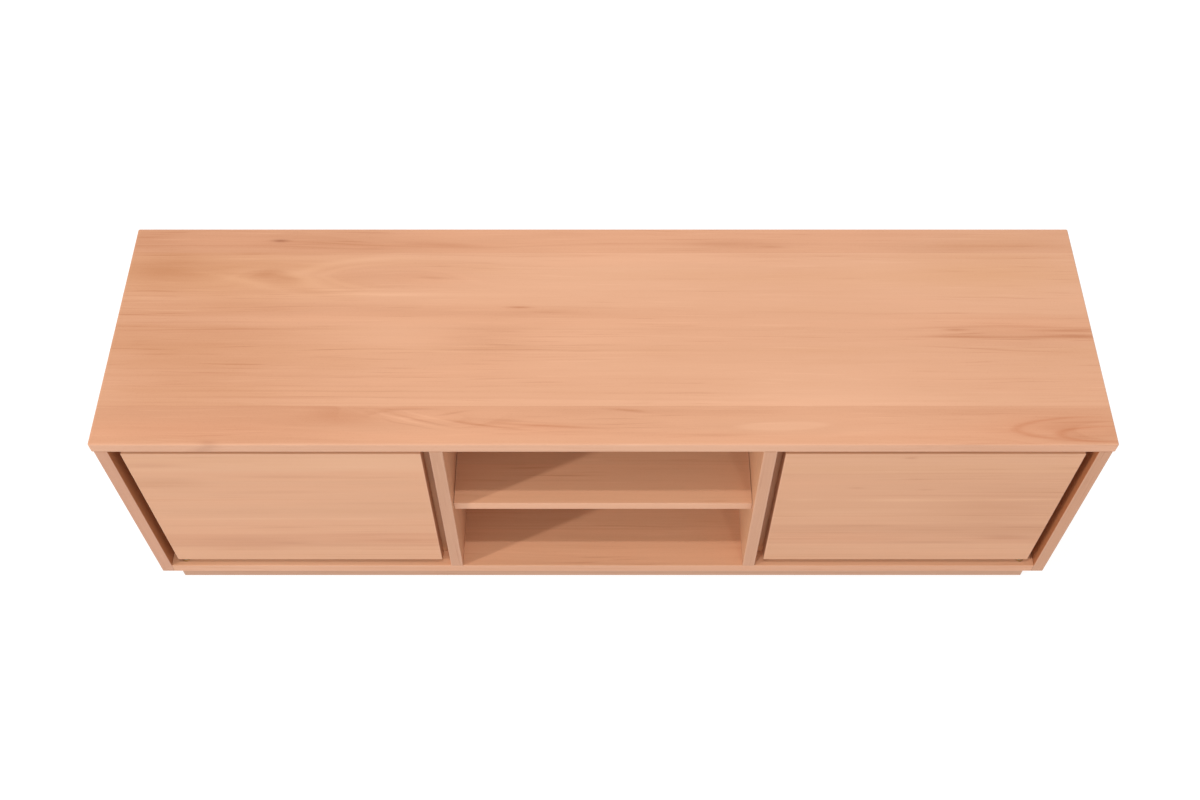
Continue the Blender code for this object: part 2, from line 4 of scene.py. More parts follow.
import bmesh
import bpy
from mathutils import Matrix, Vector


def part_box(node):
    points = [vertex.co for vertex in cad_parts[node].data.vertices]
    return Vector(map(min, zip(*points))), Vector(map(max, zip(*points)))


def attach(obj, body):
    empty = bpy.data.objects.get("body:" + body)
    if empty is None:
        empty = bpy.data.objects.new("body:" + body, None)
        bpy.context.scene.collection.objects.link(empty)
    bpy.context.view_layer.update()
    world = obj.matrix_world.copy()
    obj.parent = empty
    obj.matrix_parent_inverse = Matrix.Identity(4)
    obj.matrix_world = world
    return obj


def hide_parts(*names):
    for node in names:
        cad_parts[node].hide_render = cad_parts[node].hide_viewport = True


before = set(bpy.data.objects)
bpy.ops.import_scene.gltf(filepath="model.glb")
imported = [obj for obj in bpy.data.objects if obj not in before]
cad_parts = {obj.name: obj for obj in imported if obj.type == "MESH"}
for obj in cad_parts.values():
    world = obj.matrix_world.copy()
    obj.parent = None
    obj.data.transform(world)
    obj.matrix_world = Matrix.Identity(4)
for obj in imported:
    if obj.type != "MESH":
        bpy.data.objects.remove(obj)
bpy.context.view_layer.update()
print("frame loaded:", len(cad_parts), "nodes")


class Wire:                                   # a node's output that can stand in a sum
    def __init__(self, nodes, socket):
        self.nodes = nodes
        self.socket = socket

    def out(self, name):                      # another output of the same node
        return Wire(self.nodes, self.socket.node.outputs[name])

    def math(self, operation, *terms):
        return self.nodes.node("ShaderNodeMath", {"operation": operation}, dict(enumerate(terms)))

    def __add__(self, other):
        return self.math("ADD", self, other)

    def __radd__(self, other):
        return self.math("ADD", other, self)

    def __sub__(self, other):
        return self.math("SUBTRACT", self, other)

    def __rsub__(self, other):
        return self.math("SUBTRACT", other, self)

    def __mul__(self, other):
        return self.math("MULTIPLY", self, other)

    def __rmul__(self, other):
        return self.math("MULTIPLY", other, self)

    def __truediv__(self, other):
        return self.math("DIVIDE", self, other)

    def __rtruediv__(self, other):
        return self.math("DIVIDE", other, self)

    def __gt__(self, other):
        return self.math("GREATER_THAN", self, other)

    def __neg__(self):
        return self.math("MULTIPLY", self, -1)

    def __abs__(self):
        return self.math("ABSOLUTE", self)

    def floor(self):
        return self.math("FLOOR", self)

    def root(self):
        return self.math("SQRT", self)

    def fall(self):                           # 1 at nought, dying away like a bell
        return self.math("EXPONENT", -self)

    def least(self, other):
        return self.math("MINIMUM", self, other)

    def most(self, other):
        return self.math("MAXIMUM", self, other)

    def swing(self):                          # noise as a swing about nought
        return self - 0.5

    def between(self, low, high):             # 0 at low, 1 at high, eased at both ends
        values = {"Value": self, "From Min": low, "From Max": high}
        return self.nodes.node("ShaderNodeMapRange", {"interpolation_type": "SMOOTHSTEP"}, values)


class NodeTree:                               # the nodes of a material or of the world
    def __init__(self, owner):
        owner.use_nodes = True
        self.tree = owner.node_tree
        self.tree.nodes.clear()

    def node(self, kind, settings, values, output=0):
        made = self.tree.nodes.new(kind)
        for setting, value in settings.items():
            if setting == "stops":
                self.setStops(made.color_ramp, value)
            else:
                setattr(made, setting, value)
        for key, value in values.items():
            if isinstance(value, Wire):
                self.tree.links.new(value.socket, made.inputs[key])
            else:
                made.inputs[key].default_value = value
        return Wire(self, made.outputs[output]) if made.outputs else None

    def setStops(self, ramp, stops):
        while len(ramp.elements) < len(stops):
            ramp.elements.new(1.0)
        for element, (position, colour) in zip(ramp.elements, stops):
            element.position = position
            element.color = colour


class Finish(NodeTree):                       # one material
    def __init__(self, name):
        self.material = bpy.data.materials.new(name)
        super().__init__(self.material)

    def mix(self, factor, first, second, blend="MIX"):   # 6, 7 and 2 are the node's colour sockets
        settings = {"data_type": "RGBA", "blend_type": blend}
        return self.node("ShaderNodeMix", settings, {0: factor, 6: first, 7: second}, 2)

    def tint(self, factor, colour, tint):
        return self.mix(factor, colour, tint, "MULTIPLY")

    def axes(self):                           # the object's own metres along X, Y and Z
        place = self.node("ShaderNodeTexCoord", {}, {}, "Object")
        split = self.node("ShaderNodeSeparateXYZ", {}, {0: place})
        return [split.out(letter) for letter in "XYZ"]

    def facing(self, letter):                 # how squarely a face looks along one axis
        normal = self.node("ShaderNodeTexCoord", {}, {}, "Normal")
        return abs(self.node("ShaderNodeSeparateXYZ", {}, {0: normal}, letter))

    def point(self, x, y, z):
        return self.node("ShaderNodeCombineXYZ", {}, {0: x, 1: y, 2: z})

    def noise(self, point, detail, roughness=0.55):
        values = {"Vector": point, "Scale": 1.0, "Detail": detail, "Roughness": roughness}
        return self.node("ShaderNodeTexNoise", {}, values)

    def noiseAlong(self, value, detail):      # noise that runs along one number
        values = {"W": value, "Scale": 1.0, "Detail": detail}
        return self.node("ShaderNodeTexNoise", {"noise_dimensions": "1D"}, values)

    def bump(self, height, strength, distance):
        values = {"Height": height, "Strength": strength, "Distance": distance}
        return self.node("ShaderNodeBump", {}, values)

    def shader(self, values):
        surface = self.node("ShaderNodeBsdfPrincipled", {}, values)
        self.node("ShaderNodeOutputMaterial", {}, {"Surface": surface})
        return self.material


def paint(red, green, blue):                  # a colour picker's numbers as linear light
    shares = [value / 255 for value in (red, green, blue)]
    linear = [s / 12.92 if s <= 0.04045 else ((s + 0.055) / 1.055) ** 2.4 for s in shares]
    return (*linear, 1.0)


def addObject(name, data):
    made = bpy.data.objects.new(name, data)
    bpy.context.scene.collection.objects.link(made)
    return made


def addShape(name, shape):                    # a finished bmesh as an object
    mesh = bpy.data.meshes.new(name)
    shape.to_mesh(mesh)
    shape.free()
    return addObject(name, mesh)


# The camera stands in front, high up, and looks steeply down on the top
shot = {
    "place": (-0.0052, -1.387, 2.3911),
    "downwards": 56.583,                      # degrees below level
    "focalPixels": 1389.2,                    # in a picture 1200 pixels wide
    "pictureWidth": 1200,
    "filmWidth": 36.0,
}


def setCamera():
    camera = addObject("camera", bpy.data.cameras.new("camera"))
    camera.data.sensor_width = shot["filmWidth"]
    camera.data.lens = shot["focalPixels"] * shot["filmWidth"] / shot["pictureWidth"]
    camera.location = shot["place"]
    camera.rotation_euler = (math.radians(90 - shot["downwards"]), 0, 0)
    bpy.context.scene.camera = camera


setCamera()
print("camera set")

studio = {
    "white": (1, 1, 1, 1),
    "sky": 0.76,                              # even light from all round
    "skySeen": 1.0,                           # the white that shows past the floor's edge
    "floorSize": 60.0,
    "floorCells": 8,
    "floorTone": paint(137, 137, 137),
    "floorRoughness": 0.7,
    "floorGlow": 0.815,
    "softboxes": {                            # one overhead, one off each front corner, one behind
        "keyLight": {"place": (-0.25, -0.97, 4.20), "size": 0.10, "power": 38.0},
        "leftLight": {"place": (-7.84, -3.83, 5.75), "size": 0.45, "power": 390.0},
        "rightLight": {"place": (2.29, -7.00, 7.37), "size": 0.60, "power": 84.0},
        "backLight": {"place": (3.2, 7.6, 4.4), "size": 2.6, "power": 60.0},
    },
    "lookAt": (0.0, 0.0, 0.30),
}


def setStudio():
    scene = bpy.context.scene
    scene.view_settings.view_transform = "Standard"
    scene.world = bpy.data.worlds.new("studio")
    air = NodeTree(scene.world)
    sky = air.node("ShaderNodeBackground", {}, {"Color": studio["white"], "Strength": studio["sky"]})
    seen = air.node("ShaderNodeBackground", {}, {"Color": studio["white"], "Strength": studio["skySeen"]})
    cameraRay = air.node("ShaderNodeLightPath", {}, {}, "Is Camera Ray")
    choice = air.node("ShaderNodeMixShader", {}, {0: cameraRay, 1: sky, 2: seen})
    air.node("ShaderNodeOutputWorld", {}, {"Surface": choice})
    for name, box in studio["softboxes"].items():
        lamp = bpy.data.lights.new(name, "AREA")
        lamp.shape = "DISK"
        lamp.size = box["size"]
        lamp.energy = box["power"]
        light = addObject(name, lamp)
        light.location = box["place"]
        look = Vector(studio["lookAt"]) - light.location
        light.rotation_euler = look.to_track_quat("-Z", "Y").to_euler()


def layFloor():
    sheet = bmesh.new()
    cells = studio["floorCells"]
    bmesh.ops.create_grid(sheet, x_segments=cells, y_segments=cells, size=studio["floorSize"] / 2)
    floor = addShape("floor", sheet)
    values = {
        "Base Color": studio["floorTone"],
        "Roughness": studio["floorRoughness"],
        "Emission Color": studio["white"],
        "Emission Strength": studio["floorGlow"],
    }
    floor.data.materials.append(Finish("paleFloor").shader(values))


setStudio()
layFloor()
print("studio set")

# Beech as it grows: rings round a heart, drawn through each stave where the stave was sawn
beechTones = {
    "stops": [                                # dark latewood to pale sapwood
        (0.00, paint(140, 78, 47)),
        (0.28, paint(183, 124, 88)),
        (0.50, paint(204, 150, 116)),
        (0.74, paint(217, 166, 133)),
        (1.00, paint(231, 187, 158)),
    ],
    "plain": 0.5,                             # where on the stops a stave of no tone lies
    "redTint": (1.03, 0.92, 0.86, 1.0),
    "yellowTint": (0.99, 0.98, 0.86, 1.0),    # where a mark's red is less than none
    "redPatch": 0.8,
    "redBand": 0.5,
    "knot": paint(128, 64, 28),
    "streak": 0.09,                           # how far each kind of grain moves the tone
    "fibre": 0.13,
    "fleck": 0.065,
    "darkDash": 0.15,
    "paleDash": 0.08,
    "seam": 0.12,
}

beechGrain = {                                # noise drawn out along the grain, in repeats to the metre
    "sway": {"along": 0.8, "across": 2.5, "detail": 1, "shift": 0.0},
    "ripple": {"along": 2.4, "across": 26.0, "detail": 2, "shift": 13.7},
    "patch": {"along": 2.4, "across": 11.0, "detail": 3, "shift": 71.9},
    "streak": {"along": 1.7, "across": 62.0, "detail": 3, "shift": 29.1, "wave": 0.02},
    "dash": {"along": 5.6, "across": 290.0, "detail": 2, "shift": 83.3, "wave": 0.02},
    "fibre": {"along": 11.0, "across": 1100.0, "detail": 2, "shift": 41.9},
    "gather": {"along": 3.1, "across": 15.0, "detail": 2, "shift": 57.3},
}
rayFlecks = {"along": 150.0, "across": 820.0, "rim": 0.30, "core": 0.12}

beechFigure = {
    "seedStep": 7.31,                         # how far apart two staves lie in the noise
    "seamWidth": 0.0005,
    "darkDash": (0.07, 0.22),
    "darkGather": (-0.12, 0.14),              # dark dashes keep to where the grain gathers
    "paleDash": (-0.09, -0.24),
    "ringDrift": {"pitch": 0.37, "push": 1.6},
    "lineSwell": (0.35, 0.90),                # a ring's dark line swells through the ring
    "lineStop": (1.0, 0.90),                  # and breaks off at its end
    "lineSpread": 0.85,                       # how far one ring's line differs from another's
    "lineLeast": 0.15,
    "lineGather": (-0.20, 0.10),
    "band": {"pitch": 0.30, "shift": 3},      # broad bands of several rings
    "eyeSpread": 1.7,                         # how far an eye's bolder figure reaches past it
    "eyeLines": 0.5,                          # how much of that boldness its lines take
    "markDrift": {"along": 0.10, "across": 0.010},
}

beechEdges = {                                # a facing: where its effect starts and where it is full
    "endGrain": (0.70, 0.62, 0.58, 1.0),
    "endFacing": (0.70, 0.95),
    "endDepth": 0.85,
    "plyFacing": (0.8, 0.4),
    "plyDepth": 0.8,
    "frontFacing": (0.6, 0.9),
    # the rounded edges: worn paler, with a painted highlight along the arrises
    "edgeWearAndHighlight": 0.16,
    "rubWear": 0.75,
    "rubReach": 0.0042,
    "rubCore": 0.0006,
}

beechSheen = {
    "roughness": 0.48,
    "fibreRoughness": 0.12,
    "lineRoughness": 0.10,
    "rubPolish": 0.05,
    "endRoughness": 0.18,
    "relief": {"fibre": 0.6, "lines": 0.5, "fleck": 0.35, "darkDash": 0.3, "seam": 0.3},
    "bump": 0.20,
    "depth": 0.0003,
    "ior": 1.45,
}


class BeechBoard:                             # the wood of one board, stave by stave
    def __init__(self, finish, board):
        self.finish = finish
        self.board = board
        self.xyz = finish.axes()
        self.along, self.across, self.depth = [self.xyz["XYZ".index(letter)] for letter in board["grain"]]
        self.past = []                        # 1 beyond each glue joint
        self.seam = 0.0
        for joint in board["joints"]:
            self.addJoint(joint)
        self.start = self.pick("seed") * beechFigure["seedStep"]
        self.ripple = self.drawnOut("ripple")
        self.patch = self.drawnOut("patch")
        self.fibre = self.drawnOut("fibre")
        self.gather = self.drawnOut("gather")
        self.markAlong = self.along + self.ripple * beechFigure["markDrift"]["along"]
        self.markAcross = self.across + self.ripple * beechFigure["markDrift"]["across"]
        self.lines, self.band = self.ringFigure()
        self.darkDash, self.paleDash = self.dashes()
        self.fleck = self.cutRays()

    def addJoint(self, joint):
        at = joint["at"]
        line = self.across - self.along * joint["slope"] if "slope" in joint else self.across
        if "soft" in joint:
            self.past.append(line.between(at - joint["soft"], at + joint["soft"]))
        else:
            self.past.append(line > at)
            self.seam = self.seam + abs(line - at).between(beechFigure["seamWidth"], 0.0)

    def pick(self, key):                      # each stave's own value
        values = [stave[key] for stave in self.board["staves"]]
        total = values[0]
        for step, before, after in zip(self.past, values, values[1:]):
            if after != before:
                total = total + step * (after - before)
        return total

    def inStave(self, index):                 # 1 inside that stave alone
        mask = self.past[index - 1] if index else 1.0
        return mask * (1 - self.past[index]) if index < len(self.past) else mask

    def drawnOut(self, layer):                # some layers wander sideways with the ripple
        scale = beechGrain[layer]
        side = self.across + self.ripple * scale["wave"] if "wave" in scale else self.across
        reach = self.along * scale["along"] + (self.start + scale["shift"])
        point = self.finish.point(reach, side * scale["across"], self.depth * scale["across"])
        return self.finish.noise(point, scale["detail"]).swing()

    def spot(self, mark):                     # an oval patch drawn out along the grain
        along = self.markAlong - mark["along"]
        across = self.markAcross - mark["across"]
        if "slope" in mark:
            across = across - along * mark["slope"]
        along = along / mark["length"]
        across = across / mark["width"]
        reach = along * along + across * across
        if "thin" in mark:                    # only the oval's rim
            rim = (reach.root() - 1) / mark["thin"]
            reach = rim * rim
        touch = reach.fall()
        if "crisp" in mark:                   # even inside, with a clear outline
            touch = reach.root().between(1 + mark["crisp"], 1 - mark["crisp"])
        if "fade" in mark:                    # dying out along the grain
            touch = touch * self.markAlong.between(*mark["fade"])
        if "stave" in mark:                   # cut off at the stave's joints
            touch = touch * self.inStave(mark["stave"])
        return touch

    def growth(self):                         # distance from the tree's heart, pushed up at the eyes
        sway = self.drawnOut("sway") * self.board["sway"]
        fromHeart = self.across - self.pick("heart") - self.along * self.pick("lean") + sway
        underFace = self.depth - self.pick("heartDepth") - self.along * self.pick("rise") + sway
        distance = (fromHeart * fromHeart + underFace * underFace).root()
        distance = distance + self.ripple * self.board["ripple"]
        for eye in self.board.get("eyes", ()):
            distance = distance + self.spot(eye) * eye["lift"]
        return distance

    def boldness(self):                       # how much bolder the figure is round its eyes
        bold = 0.0
        for eye in self.board.get("eyes", ()):
            reach = {key: eye[key] * beechFigure["eyeSpread"] for key in ("length", "width")}
            bold = bold + self.spot({**eye, **reach}) * eye["bold"]
        return bold

    def ringFigure(self):                     # thin dark lines ring by ring, and broad bands
        rings = self.growth() / self.pick("ringGap")
        drift = beechFigure["ringDrift"]
        rings = rings + self.finish.noiseAlong(rings * drift["pitch"] + self.start, 1) * drift["push"]
        ring = rings.floor()
        phase = rings - ring
        settings = {"noise_dimensions": "1D"}
        voice = self.finish.node("ShaderNodeTexWhiteNoise", settings, {"W": ring + self.start})
        late = phase.between(*beechFigure["lineSwell"]) * phase.between(*beechFigure["lineStop"])
        late = late * (voice * voice * beechFigure["lineSpread"] + beechFigure["lineLeast"])
        lines = late * self.gather.between(*beechFigure["lineGather"])
        band = beechFigure["band"]
        return lines, self.finish.noiseAlong(rings * band["pitch"] + self.start * band["shift"], 1).swing()

    def dashes(self):
        dash = self.drawnOut("dash")
        dark = dash.between(*beechFigure["darkDash"]) * self.gather.between(*beechFigure["darkGather"])
        return dark, dash.between(*beechFigure["paleDash"])

    def cutRays(self):                        # short spindle flecks where the rays are cut
        reach = self.along * rayFlecks["along"] + self.start
        side = rayFlecks["across"]
        point = self.finish.point(reach, self.across * side, self.depth * side)
        cells = self.finish.node("ShaderNodeTexVoronoi", {}, {"Vector": point, "Scale": 1.0}, "Distance")
        return cells.between(rayFlecks["rim"], rayFlecks["core"])

    def faceColour(self):
        grain = self.drawnOut("streak") * beechTones["streak"] + self.fibre * beechTones["fibre"]
        grain = grain - self.fleck * beechTones["fleck"]
        grain = grain - self.darkDash * beechTones["darkDash"] + self.paleDash * beechTones["paleDash"]
        bold = self.boldness()
        shade = self.pick("tone") + beechTones["plain"]
        shade = shade + self.band * (self.pick("figure") + bold)
        shade = shade - self.lines * (self.pick("lineDepth") + bold * beechFigure["eyeLines"])
        shade = shade + self.patch * self.board["patchiness"] + grain * self.board["fine"]
        shade = shade - self.seam * beechTones["seam"]
        redness = self.patch * beechTones["redPatch"] + self.band * beechTones["redBand"] + self.pick("red")
        for mark in self.board.get("marks", ()):
            touch = self.spot(mark)
            shade = shade + touch * mark["shade"]
            if "red" in mark:
                redness = redness + touch * mark["red"]
        colour = self.finish.node("ShaderNodeValToRGB", {"stops": beechTones["stops"]}, {0: shade})
        colour = self.finish.tint(redness, colour, beechTones["redTint"])
        colour = self.finish.tint(-redness, colour, beechTones["yellowTint"])
        for knot in self.board.get("knots", ()):
            colour = self.finish.mix(self.spot(knot) * knot["dark"], colour, beechTones["knot"])
        return colour

    def crossedPlies(self):                   # 1 on the edges of the veneers laid crosswise
        plies = self.board["plies"]
        layer = (self.depth - plies["from"]) / plies["pair"]
        crossed = (layer - layer.floor()) > plies["crossedFrom"]
        return crossed * self.finish.facing(self.board["grain"][2]).between(*beechEdges["plyFacing"])

    def arrisRub(self):                       # 1 on the board's rounded edges, 0 a few mm away
        low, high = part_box(self.board["node"])
        first, second, third = [(axis - low[i]).least(high[i] - axis) for i, axis in enumerate(self.xyz)]
        fromEdge = first.least(second).most(first.most(second).least(third))   # the middle one of the three
        return fromEdge.between(beechEdges["rubReach"], beechEdges["rubCore"])

    def stainedStrip(self):                   # painted shade beside a door, darkening the side's inner face so that the gap reads as a line
        gapShade = self.board["gapShade"]
        strip = abs(self.xyz[0]).between(gapShade["face"] + gapShade["none"], gapShade["face"] + gapShade["full"])
        strip = strip * self.xyz[1].between(gapShade["back"] + gapShade["fade"], gapShade["back"] - gapShade["fade"])
        return strip * self.finish.facing("X").between(*gapShade["facing"])


def beech(name, board):
    finish = Finish(name)
    wood = BeechBoard(finish, board)
    endGrain = beechEdges["endGrain"]
    cutAcross = finish.facing(board["grain"][0]).between(*beechEdges["endFacing"])
    # the rounded edges: worn paler, with a painted highlight along the arrises
    edgeWearAndHighlight = wood.arrisRub() * (wood.fibre + beechEdges["rubWear"])
    colour = finish.tint(cutAcross * beechEdges["endDepth"], wood.faceColour(), endGrain)
    if "plies" in board:
        colour = finish.tint(wood.crossedPlies() * beechEdges["plyDepth"], colour, endGrain)
    colour = finish.mix(edgeWearAndHighlight * beechEdges["edgeWearAndHighlight"], colour, beechTones["stops"][-1][1])
    if "edgeToneAndShade" in board:                   # the front edges in a tone of their own; on the sides and dividers it darkens them as painted shade
        onFront = finish.facing("Y").between(*beechEdges["frontFacing"])
        colour = finish.tint(onFront, colour, board["edgeToneAndShade"])
    # painted shade in the gaps beside the doors
    if "gapShade" in board:
        colour = finish.tint(wood.stainedStrip(), colour, board["gapShade"]["tint"])
    # a whole-board tint; on the doors, outer battens and plinth it is painted shade, on the dividers,
    # middle shelf and bottom board painted light
    if "tint" in board:
        colour = finish.tint(1.0, colour, board["tint"])

    roughness = beechSheen["roughness"] + wood.fibre * beechSheen["fibreRoughness"]
    roughness = roughness + wood.lines * beechSheen["lineRoughness"] - edgeWearAndHighlight * beechSheen["rubPolish"]
    roughness = roughness + cutAcross * beechSheen["endRoughness"]
    relief = beechSheen["relief"]
    height = wood.fibre * relief["fibre"] - wood.lines * relief["lines"] - wood.fleck * relief["fleck"]
    height = height - wood.darkDash * relief["darkDash"] - wood.seam * relief["seam"]
    values = {
        "Base Color": colour,
        "Roughness": roughness,
        "Normal": finish.bump(height, beechSheen["bump"], beechSheen["depth"]),
        "IOR": beechSheen["ior"],
    }
    return finish.shader(values)


plainStave = {
    "seed": 1.0, "tone": 0.0, "red": 0.0, "heart": 0.4, "heartDepth": -0.1,
    "lean": 0.0, "rise": 0.0, "ringGap": 0.009, "lineDepth": 0.07, "figure": 0.08,
}


def stave(**own):
    return {**plainStave, **own}


smoothing = {"weld": 0.00001, "crease": 38, "weight": 90}   # the crease in degrees


def dress(node, material, cutter=None):
    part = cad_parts[node]
    part.data.materials.clear()
    part.data.materials.append(material)
    part.data.shade_smooth()
    weld = part.modifiers.new("weld", "WELD")
    weld.merge_threshold = smoothing["weld"]
    if cutter:
        sink = part.modifiers.new("countersinks", "BOOLEAN")
        sink.object = cutter
    split = part.modifiers.new("split", "EDGE_SPLIT")
    split.split_angle = math.radians(smoothing["crease"])
    soften = part.modifiers.new("soften", "WEIGHTED_NORMAL")
    soften.weight = smoothing["weight"]


def oval(along, across, length, width, **own):
    return {"along": along, "across": across, "length": length, "width": width, **own}


